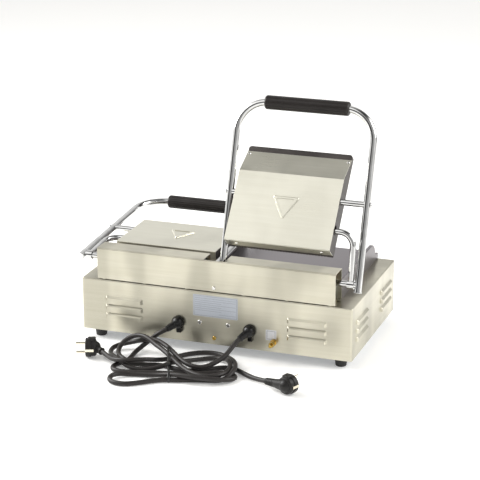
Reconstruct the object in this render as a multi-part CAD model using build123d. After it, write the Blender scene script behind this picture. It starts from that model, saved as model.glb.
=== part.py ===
from build123d import *
import math
import os

os.makedirs("parts", exist_ok=True)

# Twin contact grill. Front is -Y, rear is +Y, up is +Z, floor is z = 0. Millimetres.
# ------------------------------------------------------------ driving dimensions
FRAME_Y = 14.058         # the machine's middle in depth lies this far in front of the base's middle
BASE_HX, BASE_HY = 285.0, 156.0   # base shell, half width and half depth
BASE_Z0, BASE_Z1 = 20.0, 129.0    # base shell, lower edge and top
SHEET = 1.2
FOOT_X, FOOT_Y, FOOT_H = 256.0, 130.0, 20.0

PLATE_HX = 248.5         # lower plate, half width over the rims
PLATE_FACE_Z = 152.0     # cooking face
RIM_Z = 170.0
RIM_T = 7.5
RIM_NOTCH_Z = 160.0      # rear rim's height between the arms
PLATE_Y0, PLATE_Y1 = -128.0, 111.0

HOUSE_HX = 250.0         # hinge housing, half width
HOUSE_Y0, HOUSE_Y1 = 113.0, 155.3
HOUSE_Z0, HOUSE_Z1 = 131.2, 195.5   # stands 2 mm clear of the base on hidden pads
NOTCH_HX, NOTCH_Z = 22.0, 150.0

HINGE_Y, HINGE_Z = 135.0, 172.0   # axis of both arm shafts, along X
SHAFT_R = 6.0
FIT = 0.05               # radial running clearance of shafts, spindles and trunnions
ARM_IN, ARM_OUT = 10.5, 290.0     # x of an arm's inner and outer leg
ARM_R, ARM_WALL = 7.0, 1.5        # arm tube radius and wall
ARM_LEN = 337.0          # hinge axis to grip axis
ARM_TAIL = 13.0          # leg beyond the hinge axis
ARM_BEND = 60.0
ARM_CLOSED, ARM_OPEN = 3.0, 71.5  # elevation of an arm, degrees
GRIP_R, GRIP_BORE, GRIP_LEN = 14.0, 7.5, 172.0

ROD_S, ROD_R = 156.0, 6.0         # cross rod: distance from the hinge axis, radius
LID_X0, LID_X1 = 22.5, 237.5      # upper plate, across
LID_T = 212.0                     # upper plate, front to back
LID_PLATE = 10.5                  # thickness of its cooking plate
LID_TOP = 37.0                    # height over the cover
LID_CREASE = 149.0                # where the cover's flat top turns down
LID_WALL = 8.0
ROD_T, ROD_N = 105.0, 27.6        # cross rod in the lid: from its rear edge, and up
LID_CLOSED, LID_OPEN = 0.0, 51.5  # tilt of a lid, degrees
STAY_T, STAY_N = 47.0, 26.5       # stay's end in the lid's side
STAY_X, STAY_R, STAY_BEND = 275.0, 6.0, 27.0

KNOB_X, PANEL_Z = 165.0, 72.0
SWITCH_X, LAMP_X = 243.0, 208.0
TRAY_HX, TRAY_Z0, TRAY_Z1 = 67.0, 87.0, 110.0
TRAY_Y0, TRAY_Y1 = -158.0, -14.0

GLAND_X, GLAND_Z = 75.5, 59.0
CORD_R = 4.75


# ------------------------------------------------------------ helpers
def block(x0, x1, y0, y1, z0, z1):
    return Pos((x0 + x1) / 2, (y0 + y1) / 2, (z0 + z1) / 2) * Box(abs(x1 - x0), abs(y1 - y0), abs(z1 - z0))


def rod(p, d, r, length):
    """Cylinder from p along d."""
    return Plane(origin=p, z_dir=d) * Cylinder(r, length, align=(Align.CENTER, Align.CENTER, Align.MIN))


def cone(p, d, r0, r1, length):
    return Plane(origin=p, z_dir=d) * Cone(r0, r1, length, align=(Align.CENTER, Align.CENTER, Align.MIN))


def rod_x(r, x0, x1, y, z):
    return rod((min(x0, x1), y, z), (1, 0, 0), r, abs(x1 - x0))


def rod_y(r, y0, y1, x, z):
    return rod((x, min(y0, y1), z), (0, 1, 0), r, abs(y1 - y0))


def rod_z(r, z0, z1, x, y):
    return rod((x, y, min(z0, z1)), (0, 0, 1), r, abs(z1 - z0))


def face_of(points, rounds=()):
    """Closed 2-D face; rounds is ((x, y), radius) for corners that are rounded."""
    f = make_face(Polyline(*points, close=True))
    for at, r in rounds:
        v = min(f.vertices(), key=lambda q: (q.X - at[0]) ** 2 + (q.Y - at[1]) ** 2)
        f = fillet(v, r)
    return f


def prism_x(points, x0, x1, rounds=()):
    """Profile in (y, z), extruded from x0 to x1."""
    x0, x1 = min(x0, x1), max(x0, x1)
    return extrude(Plane(origin=(x0, 0, 0), x_dir=(0, 1, 0), z_dir=(1, 0, 0)) * face_of(points, rounds), x1 - x0)


def prism_y(points, y0, y1, rounds=()):
    """Profile in (x, z), extruded from the rear face y1 to the front face y0."""
    y0, y1 = min(y0, y1), max(y0, y1)
    return extrude(Plane(origin=(0, y1, 0), x_dir=(1, 0, 0), z_dir=(0, -1, 0)) * face_of(points, rounds), y1 - y0)


def hexagon(p, d, across, length):
    return extrude(Plane(origin=p, z_dir=d) * RegularPolygon(across / 2, 6, major_radius=False), length)


def tube_along(path, r):
    start = path @ 0
    return sweep(Plane(origin=start, z_dir=path % 0) * Circle(r), path=path)


def swing(shape, angle, y=HINGE_Y, z=HINGE_Z):
    """Built lying forward from (0, 0, 0); lifted by angle about X and set at (y, z)."""
    return Pos(0, y, z) * Rot(-angle, 0, 0) * shape


def side(shape, sx):
    return shape if sx > 0 else mirror(shape, Plane.YZ)


def all_solids(*shapes):
    out = []
    for s in shapes:
        out += list(s.solids())
    return out


def save(name, *shapes):
    parts = [Pos(0, FRAME_Y, 0) * s for s in all_solids(*shapes)]
    whole = parts[0] if len(parts) == 1 else Compound(children=parts)
    export_step(whole, f"parts/{name}.step")


# ------------------------------------------------------------ base shell with louvres
outer = block(-BASE_HX, BASE_HX, -BASE_HY, BASE_HY, BASE_Z0, BASE_Z1)
outer = fillet(outer.edges().filter_by(Axis.Z), 4.0)
outer = fillet(outer.edges().group_by(Axis.Z)[-1], 2.4)
inner = block(-BASE_HX + SHEET, BASE_HX - SHEET, -BASE_HY + SHEET, BASE_HY - SHEET, BASE_Z0 - 1, BASE_Z1 - SHEET)
inner = fillet(inner.edges().filter_by(Axis.Z), 2.8)
inner = fillet(inner.edges().group_by(Axis.Z)[-1], 1.2)
shell = outer - inner


def louvre(length):
    """One pressed hood on the plane y = 0, top at z = 0, open below; and the space behind it."""
    def frame(y, w, z0, z1):
        return Plane(origin=(0, y, (z0 + z1) / 2), x_dir=(1, 0, 0), z_dir=(0, 1, 0)) * Rectangle(w, z1 - z0)
    hood = loft([frame(-0.9, length, -10.5, 0.6).face(), frame(4.3, length - 8, -10.5, -3.6).face()], ruled=True)
    tips = [e for e in hood.edges() if e.center().Y > 1.0 and e.center().Z > -10.4]
    hood = fillet(tips, 1.3)
    gap = loft([frame(-1.5, length - 3, -11.4, -1.2).face(), frame(3.2, length - 10.2, -11.4, -4.8).face()], ruled=True)
    return hood, gap


LOUVRE_TOPS = (96.0, 78.0, 60.0)
h80, g80 = louvre(82.0)
h76, g76 = louvre(77.0)
hoods, gaps = [], []
for zt in LOUVRE_TOPS:
    for x in (-193.0, 193.0):
        hoods.append(Pos(x, BASE_HY, zt) * h80)
        gaps.append(Pos(x, BASE_HY, zt) * g80)
    for y in (-90.0, 86.0):
        hoods.append(Pos(BASE_HX, y, zt) * Rot(0, 0, -90) * h76)
        gaps.append(Pos(BASE_HX, y, zt) * Rot(0, 0, -90) * g76)
        hoods.append(Pos(-BASE_HX, y, zt) * Rot(0, 0, 90) * h76)
        gaps.append(Pos(-BASE_HX, y, zt) * Rot(0, 0, 90) * g76)
shell = shell + hoods
shell = shell - gaps
cuts = [
    block(-225, 225, -112, 95, 120, 135),                   # under the heated plate
    rod_z(7.6, 120, 135, 0, -146.6),                        # drain spout
    block(-70.5, 70.5, -160, -150, 84, 113.5),              # drip tray
]
for s in (-1, 1):
    cuts += [
        rod_y(5.5, -160, -150, s * KNOB_X, PANEL_Z),
        block(s * SWITCH_X - 10.6, s * SWITCH_X + 10.6, -160, -150, PANEL_Z - 14.6, PANEL_Z + 14.6),
        rod_y(4.7, -160, -150, s * LAMP_X, PANEL_Z + 12),
        rod_y(4.7, -160, -150, s * LAMP_X, PANEL_Z - 12),
        rod_y(9.1, 150, 160, s * GLAND_X, GLAND_Z),
        rod_y(2.6, 150, 160, s * 30, 64),
    ]
cuts += [rod_y(2.2, 150, 160, 0, 33), rod_y(3.1, 150, 160, -126, 41.5)]
shell = shell - cuts
save("base_shell", shell)

# ------------------------------------------------------------ bottom, feet
bottom = block(-283.6, 283.6, -154.6, 154.6, 20.0, 21.2)
bottom = fillet(bottom.edges().filter_by(Axis.Z), 2.6)
bcut = [rod_z(2.7, 19, 23, sx * FOOT_X, sy * FOOT_Y) for sx in (-1, 1) for sy in (-1, 1)]
for k in range(8):
    x = -175 + 50 * k
    bcut.append(block(x - 18, x + 18, -30, -25, 19, 23))
    bcut.append(block(x - 18, x + 18, 45, 50, 19, 23))
save("base_bottom", bottom - bcut)

foot_profile = [(0, 0), (10.0, 0), (11.0, 1.0), (13.5, 19.0), (12.8, 20.0), (0, 20.0)]
foot = revolve(Plane.XZ * face_of(foot_profile), Axis.Z)
foot = foot - [rod_z(5.6, -1, 6.0, 0, 0), rod_z(2.7, -1, 21, 0, 0)]
screw = rod_z(4.6, 2.4, 6.0, 0, 0) + rod_z(2.5, 6.0, 27.5, 0, 0)
screw = screw - [block(-4, 4, -0.6, 0.6, 2.0, 3.6), block(-0.6, 0.6, -4, 4, 2.0, 3.6)]
nut = hexagon((0, 0, 21.2), (0, 0, 1), 8.0, 4.0) - rod_z(2.5, 20, 26, 0, 0)
spots = [(sx * FOOT_X, sy * FOOT_Y) for sx in (-1, 1) for sy in (-1, 1)]
save("feet", *[Pos(x, y, 0) * foot for x, y in spots])
save("foot_screws", *[Pos(x, y, 0) * q for x, y in spots for q in (screw, nut)])

# ------------------------------------------------------------ lower plate: one smooth iron casting
pin = PLATE_HX - RIM_T
plate = prism_x([(PLATE_Y0, 143.0), (PLATE_Y1, 143.0), (PLATE_Y1, PLATE_FACE_Z), (PLATE_Y0, PLATE_FACE_Z)], -PLATE_HX, PLATE_HX)
rim = [(-137.5, BASE_Z1), (PLATE_Y1, BASE_Z1), (PLATE_Y1, RIM_Z), (-137.5, RIM_Z)]
for s in (-1, 1):
    plate = plate + prism_x(rim, s * pin, s * PLATE_HX, rounds=(((-137.5, RIM_Z), 28.0),))
plate = plate + block(-PLATE_HX, PLATE_HX, PLATE_Y1 - 6, PLATE_Y1, BASE_Z1, RIM_Z)
gutter = [(-127, 152), (-130, 151.4), (-133, 149), (-145, 134.2), (-152, 133.4), (-154.6, 136.6), (-157.4, 136.6),
          (-157.4, BASE_Z1), (-140, BASE_Z1), (-134, 137), (-127, 143)]
plate = plate + prism_x(gutter, -PLATE_HX, PLATE_HX)
plate = plate + block(-PLATE_HX, -PLATE_HX + 5, -157.4, -130, BASE_Z1, 140) + block(PLATE_HX - 5, PLATE_HX, -157.4, -130, BASE_Z1, 140)
plate = plate + rod_z(6.9, 118, 131, 0, -146.6)
plate = plate - rod_z(4.6, 110, 150, 0, -146.6)
plate = plate - block(-NOTCH_HX, NOTCH_HX, PLATE_Y1 - 8, PLATE_Y1 + 1, RIM_NOTCH_Z, RIM_Z + 1)   # room for both arms' inner legs
try:
    plate = fillet([e for e in plate.edges() if e.center().Z > RIM_Z - 0.05 and e.length > 100], 1.8)
except Exception:
    print("plate rim left sharp")
save("lower_plate", plate)

lower_heaters, clamps, lower_wool = [], [], []
for s in (-1, 1):
    pts = [(30, 88), (30, -96), (70, -96), (70, 60), (110, 60), (110, -96), (150, -96), (150, 60), (190, 60), (190, -96), (218, -96), (218, 88)]
    path = FilletPolyline(*[(s * x, y, 139.0) for x, y in pts], radius=13.5)
    lower_heaters.append(tube_along(path, 4.0))
    clamps.append(block(s * 40, s * 210, -85, 50, 133.4, 134.9))
    lower_wool.append(block(s * 14, s * 222, -106, 90, 119.3, 133.3))
save("lower_heaters", *lower_heaters, *clamps)
save("lower_insulation", *lower_wool)
pan = block(-224.6, 224.6, -111.6, 94.6, 118.0, 127.8) - block(-223.4, 223.4, -110.4, 93.4, 119.2, 130)
pan = pan + (block(-238, 238, -124, 107, 126.6, 127.7) - block(-224, 224, -111, 94, 120, 130))
save("heat_shield_pan", pan)

# ------------------------------------------------------------ hinge housing, brackets, bushes, springs
house = block(-HOUSE_HX, HOUSE_HX, HOUSE_Y0, HOUSE_Y1, HOUSE_Z0, HOUSE_Z1)
house = fillet(house.edges().filter_by(Axis.X).group_by(Axis.Z)[-1], 2.4)
hin = block(-HOUSE_HX - 1, HOUSE_HX + 1, HOUSE_Y0 + SHEET, HOUSE_Y1 - SHEET, HOUSE_Z0 - 1, HOUSE_Z1 - SHEET)
hin = fillet(hin.edges().filter_by(Axis.X).group_by(Axis.Z)[-1], 1.2)
house = house - hin
house = house + [block(-HOUSE_HX, HOUSE_HX, HOUSE_Y0 + 0.6, 125, HOUSE_Z0, HOUSE_Z0 + SHEET),
                 block(-HOUSE_HX, HOUSE_HX, 144, HOUSE_Y1 - 0.6, HOUSE_Z0, HOUSE_Z0 + SHEET)]
house = house - [block(-NOTCH_HX, NOTCH_HX, 100, HOUSE_Y1 - SHEET - 0.2, NOTCH_Z, 200), rod_y(2.2, 150, 160, 0, 138.5)]
house = house + [rod_z(5.0, BASE_Z1 + 0.3, HOUSE_Z0 + 0.4, sx * x, y) for sx in (-1, 1) for x in (60.0, 150.0, 238.0) for y in (119.0, 148.5)]
save("hinge_housing", house)

hs = rod_y(4.0, HOUSE_Y1, HOUSE_Y1 + 2.2, 0, 138.5)
hs = fillet(hs.edges().group_by(Axis.Y)[-1], 1.4) + rod_y(2.1, HOUSE_Y1 - 10, HOUSE_Y1, 0, 138.5)
hs = hs - [block(-2.6, 2.6, 156.6, 158, 138.1, 138.9), block(-0.4, 0.4, 156.6, 158, 135.9, 141.1)]

BEARINGS = (31.0, 234.0)
brackets, bushes, springs = [], [], []
for s in (-1, 1):
    for x in BEARINGS:
        b = block(s * (x - 1.5), s * (x + 1.5), 118, 152, HOUSE_Z0 + SHEET + 0.2, 188)
        b = fillet(b.edges().filter_by(Axis.X).group_by(Axis.Z)[-1], 8)
        foot_to = x + 14 if x < 100 else x - 14
        b = b + block(s * x, s * foot_to, 118, 152, HOUSE_Z0 + SHEET + 0.2, HOUSE_Z0 + SHEET + 3.2)
        b = b - rod_x(9.0, s * (x - 3), s * (x + 3), HINGE_Y, HINGE_Z)
        brackets.append(b)
        u = rod_x(9.0, s * (x - 4), s * (x + 4), HINGE_Y, HINGE_Z) + rod_x(11.5, s * (x - 4), s * (x - 1.5), HINGE_Y, HINGE_Z)
        bushes.append(u - rod_x(SHAFT_R + FIT, s * (x - 5), s * (x + 5), HINGE_Y, HINGE_Z))
    coil = Helix(pitch=3.8, height=45.6, radius=10.5, center=(s * 44 if s > 0 else -44 - 45.6, HINGE_Y, HINGE_Z), direction=(1, 0, 0))
    springs.append(sweep(Plane(origin=coil @ 0, z_dir=coil % 0) * Circle(1.5), path=coil, is_frenet=True))
save("bearing_brackets", *brackets)
save("shaft_bushes", *bushes)
save("counter_springs", *springs)

# ------------------------------------------------------------ arms, lids and stays
ROD_OFF_T, ROD_OFF_N = ROD_T, ROD_N


def lid_origin(arm, tilt):
    """The lid's lower rear edge (y, z), for an arm's elevation and the lid's tilt."""
    a, b = math.radians(arm), math.radians(tilt)
    py, pz = HINGE_Y - ROD_S * math.cos(a), HINGE_Z + ROD_S * math.sin(a)
    f, u = ROD_T * math.cos(b) - ROD_N * math.sin(b), ROD_T * math.sin(b) + ROD_N * math.cos(b)
    return py + f, pz - u


def stay_end(arm, tilt):
    """Radius and elevation of the stay's end about the hinge, where the lid would carry it."""
    oy, oz = lid_origin(arm, tilt)
    b = math.radians(tilt)
    f, u = STAY_T * math.cos(b) - STAY_N * math.sin(b), STAY_T * math.sin(b) + STAY_N * math.cos(b)
    y, z = oy - f, oz + u
    return math.hypot(HINGE_Y - y, z - HINGE_Z), math.degrees(math.atan2(z - HINGE_Z, HINGE_Y - y))


r0, th0 = stay_end(ARM_CLOSED, LID_CLOSED)
r1, th1 = stay_end(ARM_OPEN, LID_OPEN)
STAY_LEN = (r0 + r1) / 2
print("lid origin closed", lid_origin(ARM_CLOSED, LID_CLOSED), "open", lid_origin(ARM_OPEN, LID_OPEN))
print("stay radius", r0, r1, STAY_LEN, "elevation", th0, th1, "relative ratio", ((th1 - th0) - (ARM_OPEN - ARM_CLOSED)) / (ARM_OPEN - ARM_CLOSED))
print("lid ratio", (LID_OPEN - LID_CLOSED - (ARM_OPEN - ARM_CLOSED)) / (ARM_OPEN - ARM_CLOSED))
for a in range(0, 101, 20):
    arm = ARM_CLOSED + (ARM_OPEN - ARM_CLOSED) * a / 100
    tilt = LID_OPEN * a / 100
    th = th0 + (th1 - th0) * a / 100
    oy, oz = lid_origin(arm, tilt)
    y, z = HINGE_Y - STAY_LEN * math.cos(math.radians(th)), HINGE_Z + STAY_LEN * math.sin(math.radians(th))
    b = math.radians(tilt)
    t = (oy - y) * math.cos(b) + (z - oz) * math.sin(b)
    n = -(oy - y) * math.sin(b) + (z - oz) * math.cos(b)
    print("  stay in lid at", a, "%: t", round(t, 2), "n", round(n, 2))


def arm_parts(arm):
    """Built on the +X side."""
    path = FilletPolyline((ARM_IN, ARM_TAIL, 0), (ARM_IN, -ARM_LEN, 0), (ARM_OUT, -ARM_LEN, 0), (ARM_OUT, ARM_TAIL, 0), radius=ARM_BEND)
    full = tube_along(path, ARM_R)
    tube = full - tube_along(path, ARM_R - ARM_WALL)
    tube = tube - [rod_x(2.6, ARM_IN - 10, ARM_IN + 10, -ROD_S, 0), rod_x(2.6, ARM_OUT - 10, ARM_OUT + 10, -ROD_S, 0)]
    leg_in = rod_y(ARM_R, -ROD_S - 40, ARM_TAIL, ARM_IN, 0)
    leg_out = rod_y(ARM_R, -ROD_S - 40, ARM_TAIL, ARM_OUT, 0)
    shaft = rod_x(SHAFT_R, ARM_IN + 1, ARM_OUT - 1, 0, 0) - leg_in - leg_out
    cross = rod_x(ROD_R, ARM_IN + 1, ARM_OUT - 1, -ROD_S, 0) - leg_in - leg_out
    cross = cross - [rod_x(2.5, ARM_IN, ARM_IN + 22, -ROD_S, 0), rod_x(2.5, ARM_OUT - 22, ARM_OUT, -ROD_S, 0)]
    plugs = []
    for x in (ARM_IN, ARM_OUT):
        p = rod_y(8.3, ARM_TAIL, ARM_TAIL + 2.6, x, 0)
        p = fillet(p.edges().group_by(Axis.Y)[-1], 1.1)
        plugs.append(p + rod_y(ARM_R - ARM_WALL - 0.05, ARM_TAIL - 9, ARM_TAIL, x, 0))
    head = rod_x(4.8, ARM_OUT + ARM_R - 0.2, ARM_OUT + ARM_R + 2.4, -ROD_S, 0)
    head = fillet(head.edges().group_by(Axis.X)[-1], 1.6)
    out_screw = (head + rod_x(2.45, ARM_OUT - 20, ARM_OUT + ARM_R, -ROD_S, 0)) - leg_out + rod_x(2.45, ARM_OUT - 20, ARM_OUT + ARM_R + 0.5, -ROD_S, 0)
    out_screw = out_screw - [block(298.6, 301, -ROD_S - 3, -ROD_S + 3, -0.5, 0.5), block(298.6, 301, -ROD_S - 0.5, -ROD_S + 0.5, -3, 3)]
    in_head = rod_x(4.4, ARM_IN - ARM_R - 1.3, ARM_IN - ARM_R + 0.2, -ROD_S, 0)
    in_screw = (in_head - leg_in) + rod_x(2.45, ARM_IN - ARM_R - 1.0, ARM_IN + 20, -ROD_S, 0)
    xc = (ARM_IN + ARM_OUT) / 2
    grip = rod_x(GRIP_R, xc - GRIP_LEN / 2, xc + GRIP_LEN / 2, -ARM_LEN, 0)
    grip = fillet(grip.edges().filter_by(GeomType.CIRCLE), 4.5)
    flutes = []
    for k in range(18):
        q = math.radians(20 * k)
        flutes.append(rod_x(1.5, xc - GRIP_LEN / 2 + 5, xc + GRIP_LEN / 2 - 5, -ARM_LEN + 14.9 * math.cos(q), 14.9 * math.sin(q)))
    grip = grip - flutes - rod_x(GRIP_BORE, xc - GRIP_LEN, xc + GRIP_LEN, -ARM_LEN, 0)
    collar = rod_x(12.5, 92.5, 106.5, 0, 0)
    shaft = shaft + fillet(collar.edges().filter_by(GeomType.CIRCLE), 1.0)
    return {"arm_tube": [swing(tube, arm)], "arm_shaft": [swing(shaft, arm)], "lid_cross_rod": [swing(cross, arm)],
            "arm_end_fittings": [swing(q, arm) for q in (*plugs, out_screw, in_screw)], "grip": [swing(grip, arm)]}


def lid_parts(arm, tilt):
    oy, oz = lid_origin(arm, tilt)
    n_groove, pitch = 32, 6.0
    comb = [(LID_X0, LID_PLATE), (LID_X0, 0.0)]
    first = (LID_X0 + LID_X1) / 2 - pitch * (n_groove - 1) / 2
    for k in range(n_groove):
        c = first + pitch * k
        comb += [(c - 1.6, 0.0), (c - 0.8, 2.2), (c + 0.8, 2.2), (c + 1.6, 0.0)]
    comb += [(LID_X1, 0.0), (LID_X1, LID_PLATE)]
    body = prism_y(comb, -LID_T, 0)
    body = fillet([e for e in body.edges().filter_by(Axis.Z) if e.length > 9 and e.center().Y < -LID_T + 1], 6.0)
    body = fillet([e for e in body.edges().filter_by(Axis.Z) if e.length > 9 and e.center().Y > -1], 2.0)
    wall = [(-1.2, LID_PLATE - 0.5), (-1.2, 35.8), (-148.8, 35.8), (-199.0, LID_PLATE - 0.5)]
    for x0, x1 in ((LID_X0, LID_X0 + LID_WALL), (LID_X1 - LID_WALL, LID_X1)):
        body = body + prism_x(wall, x0, x1)
    for x in (45.0, 218.0):
        body = body + block(x - 5, x + 5, -9, -1.2, LID_PLATE - 0.5, 30)
    body = body - rod_x(ROD_R + FIT, LID_X0 - 2, LID_X1 + 2, -ROD_T, ROD_N)
    slot = [(-STAY_T - 9.4, 18.4), (-STAY_T + 9.4, 18.4), (-STAY_T + 9.4, 33.4), (-STAY_T - 9.4, 33.4)]
    body = body - prism_x(slot, LID_X1 - LID_WALL - 1, LID_X1 + 1, rounds=tuple((q, 6.4) for q in slot))
    screws_at = [((x, -194.0, 37.0 - 45 * 25.8 / 51.5), (0, -0.448, 0.894)) for x in (27.5, 232.5)]
    screws_at += [((x, 0.0, 23.0), (0, 1, 0)) for x in (45.0, 218.0)]
    cover_pts = [(0, 11.0), (0, LID_TOP), (-LID_CREASE, LID_TOP), (-200.5, 11.2), (-198.3, 11.2), (-148.76, 36.0), (-1.0, 36.0), (-1.0, 11.0)]
    cover = prism_x(cover_pts, LID_X0, LID_X1, rounds=(((0, LID_TOP), 1.8), ((-1.0, 36.0), 0.8), ((-LID_CREASE, LID_TOP), 4.0), ((-148.76, 36.0), 3.0)))
    xc = (LID_X0 + LID_X1) / 2

    def tri(k, z0, z1, grow=0.0):
        a = 56.0 * k
        h = a * math.sqrt(3) / 2
        cy = -(101.5 - 48.5 / 3)
        pts = [(xc - a / 2, cy - h / 3), (xc + a / 2, cy - h / 3), (xc, cy + 2 * h / 3)]
        t = extrude(Plane.XY.offset(z0) * make_face(Polyline(*pts, close=True)), z1 - z0)
        return fillet(t.edges().filter_by(Axis.Z), max(0.8, 3.0 * k))

    boss = tri(1.0, LID_TOP - 0.5, LID_TOP + 2.4)
    boss = chamfer(boss.edges().group_by(Axis.Z)[-1], 1.7)
    boss = boss - tri(0.70, LID_TOP + 1.2, LID_TOP + 3)
    cover = cover + boss
    screws, holes, bores = [], [], []
    for p, d in screws_at:
        dn = math.sqrt(sum(q * q for q in d))
        d = tuple(q / dn for q in d)
        h = cone(p, d, 3.0, 2.0, 1.3)
        back = tuple(p[i] - 7.0 * d[i] for i in range(3))
        s = h + rod(back, d, 1.4, 7.3)
        top = tuple(p[i] + 0.8 * d[i] for i in range(3))
        s = s - (Plane(origin=top, z_dir=d, x_dir=(1, 0, 0)) * Pos(0, 0, 1) * Box(3.4, 0.7, 2)) - (Plane(origin=top, z_dir=d, x_dir=(1, 0, 0)) * Pos(0, 0, 1) * Box(0.7, 3.4, 2))
        screws.append(s)
        far = tuple(p[i] - 8.0 * d[i] for i in range(3))
        holes.append(rod(far, d, 1.5, 10.0))
    cover = cover - holes
    body = body - holes
    hp = [(60, -16), (60, -178), (106, -178), (106, -44), (154, -44), (154, -178), (200, -178), (200, -16)]
    heater = tube_along(FilletPolyline(*[(x, y, 14.5) for x, y in hp], radius=18.0), 4.0)
    wool = [block(54, 208, -95, -20, 18.7, 33.5), block(54, 208, -148, -115, 18.7, 33.5)]

    def put(s):
        return swing(s, tilt, oy, oz)

    return {"lid_plate": [put(body)], "lid_cover": [put(cover)], "cover_screws": [put(s) for s in screws],
            "lid_heater": [put(heater)], "lid_insulation": [put(w) for w in wool]}


def stay_part(theta):
    path = FilletPolyline((STAY_X, -6.5, 0), (STAY_X, -STAY_LEN, 0), (229.5, -STAY_LEN, 0), radius=STAY_BEND)
    tube = tube_along(path, STAY_R) - tube_along(path, STAY_R - 1.2)
    eye = rod_x(8.8, STAY_X - 6.5, STAY_X + 6.5, 0, 0)
    stay = (tube - rod_x(8.0, STAY_X - 8, STAY_X + 8, 0, 0)) + eye
    stay = stay - rod_x(SHAFT_R + FIT, STAY_X - 10, STAY_X + 10, 0, 0)
    return {"stay_tube": [swing(stay, theta)]}


for sx, word, arm, tilt, th in ((-1, "left", ARM_OPEN, LID_OPEN, th1), (1, "right", ARM_CLOSED, LID_CLOSED, th0)):
    made = {}
    made.update(arm_parts(arm))
    made.update(lid_parts(arm, tilt))
    made.update(stay_part(th))
    for name, shapes in made.items():
        save(f"{name}_{word}", *[side(s, sx) for s in shapes])

# ------------------------------------------------------------ front panel
front = -BASE_HY
dials, thermostats, lamps_green, lamps_amber, frames = [], [], [], [], []
for s, word in ((-1, "left"), (1, "right")):
    x = s * KNOB_X
    dial = rod_y(31.0, front - 0.8, front, x, PANEL_Z) - rod_y(5.5, front - 2, front + 1, x, PANEL_Z)
    dials.append(dial)
    thermostats.append(block(x - 21, x + 21, front + SHEET, front + 34, PANEL_Z - 19, PANEL_Z + 19) - rod_y(3.05, front, front + 12, x, PANEL_Z))
    spindle = rod_y(3.0, front - 15, front + 11, x, PANEL_Z)
    knob = rod_y(19.0, front - 5.0, front - 1.4, x, PANEL_Z)
    knob = fillet(knob.edges().filter_by(GeomType.CIRCLE), 1.0)
    cap = cone((x, front - 4.0, PANEL_Z), (0, -1, 0), 16.0, 14.2, 16.0)
    cap = fillet(cap.edges().group_by(Axis.Y)[0], 1.6)
    knob = knob + cap
    for k in range(12):
        q = math.radians(30 * k + 15)
        knob = knob - rod((x + 17.6 * math.cos(q), front - 5.4, PANEL_Z + 17.6 * math.sin(q)), (0, -1, 0), 3.0, 20)
    knob = knob + block(x - 1.2, x + 1.2, front - 20.6, front - 19.6, PANEL_Z + 2, PANEL_Z + 12.5)
    knob = knob - rod_y(3.0, front - 15, front, x, PANEL_Z)
    save(f"knob_{word}", knob, spindle)
    x = s * SWITCH_X
    f = block(x - 13, x + 13, front - 2, front, PANEL_Z - 17, PANEL_Z + 17)
    f = fillet(f.edges().filter_by(Axis.Y), 2.0)
    f = f + block(x - 10.4, x + 10.4, front - 1, front + 16, PANEL_Z - 14.4, PANEL_Z + 14.4)
    f = f - block(x - 8.8, x + 8.8, front - 4, front + 13, PANEL_Z - 13.2, PANEL_Z + 13.2)
    f = f - rod_x(1.56, x - 10, x + 10, front + 3, PANEL_Z)
    frames.append(f)
    r = prism_x([(-7.4, 11.4), (-4.6, 0), (-7.4, -11.4), (-1.5, -11.4), (6.0, -3.0), (6.0, 3.0), (-1.5, 11.4)], x - 8.3, x + 8.3)
    r = r + rod_x(1.5, x - 9.8, x + 9.8, 0, 0)
    save(f"switch_rocker_{word}", Pos(0, front + 3, PANEL_Z) * Rot(9, 0, 0) * r)
    for dz, bag in ((12, lamps_green), (-12, lamps_amber)):
        lens = rod_y(6.0, front - 3.5, front, s * LAMP_X, PANEL_Z + dz)
        lens = fillet(lens.edges().group_by(Axis.Y)[0], 2.2)
        bag.append(lens + rod_y(4.6, front - 1, front + 18, s * LAMP_X, PANEL_Z + dz))
save("dial_plates", *dials)
save("thermostats", *thermostats)
save("switch_frames", *frames)
save("pilot_lamps", *lamps_green, *lamps_amber)

# drip tray drawer and its guide
tray = block(-TRAY_HX, TRAY_HX, -157.4, TRAY_Y1, TRAY_Z0, TRAY_Z1) - block(-TRAY_HX + 1, TRAY_HX - 1, -156.4, TRAY_Y1 - 1, TRAY_Z0 + 1, TRAY_Z1 + 2)
panel = block(-75, 75, -158.4, -156.8, 80.5, 116.5)
panel = fillet(panel.edges().filter_by(Axis.Y), 3.0)
pull = tube_along(FilletPolyline((-38, -158.0, 98.5), (-38, -182.0, 98.5), (38, -182.0, 98.5), (38, -158.0, 98.5), radius=12.0), 4.0)
save("drip_tray", tray + panel + pull)
guide = block(-69.6, 69.6, -154.7, -9.0, 85.2, 112.0) - block(-68.4, 68.4, -160, -10.2, 86.4, 113)
guide = guide + [block(69.0, 82.0, -154.7, -153.5, 86, 112), block(-82.0, -69.0, -154.7, -153.5, 86, 112)]
save("drip_tray_guide", guide)

# ------------------------------------------------------------ rear face
rear = BASE_HY
save("rating_plate", fillet(block(-50, 44, rear, rear + 0.5, 77, 122).edges().filter_by(Axis.Y), 1.5))
save("bonding_label", block(-130.5, -108.5, rear, rear + 0.3, 43.5, 65.5) - rod_y(6.6, rear - 1, rear + 1, -126, 41.5))


def pan_screw(x, z, r, h, shank, length):
    hd = rod_y(r, rear, rear + h, x, z)
    hd = fillet(hd.edges().group_by(Axis.Y)[-1], h * 0.8)
    sc = hd + rod_y(shank, rear - length, rear + 0.5, x, z)
    return sc - [block(x - r * 0.6, x + r * 0.6, rear + h - 1.0, rear + h + 1, z - 0.5, z + 0.5),
                 block(x - 0.5, x + 0.5, rear + h - 1.0, rear + h + 1, z - r * 0.6, z + r * 0.6)]


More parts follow.
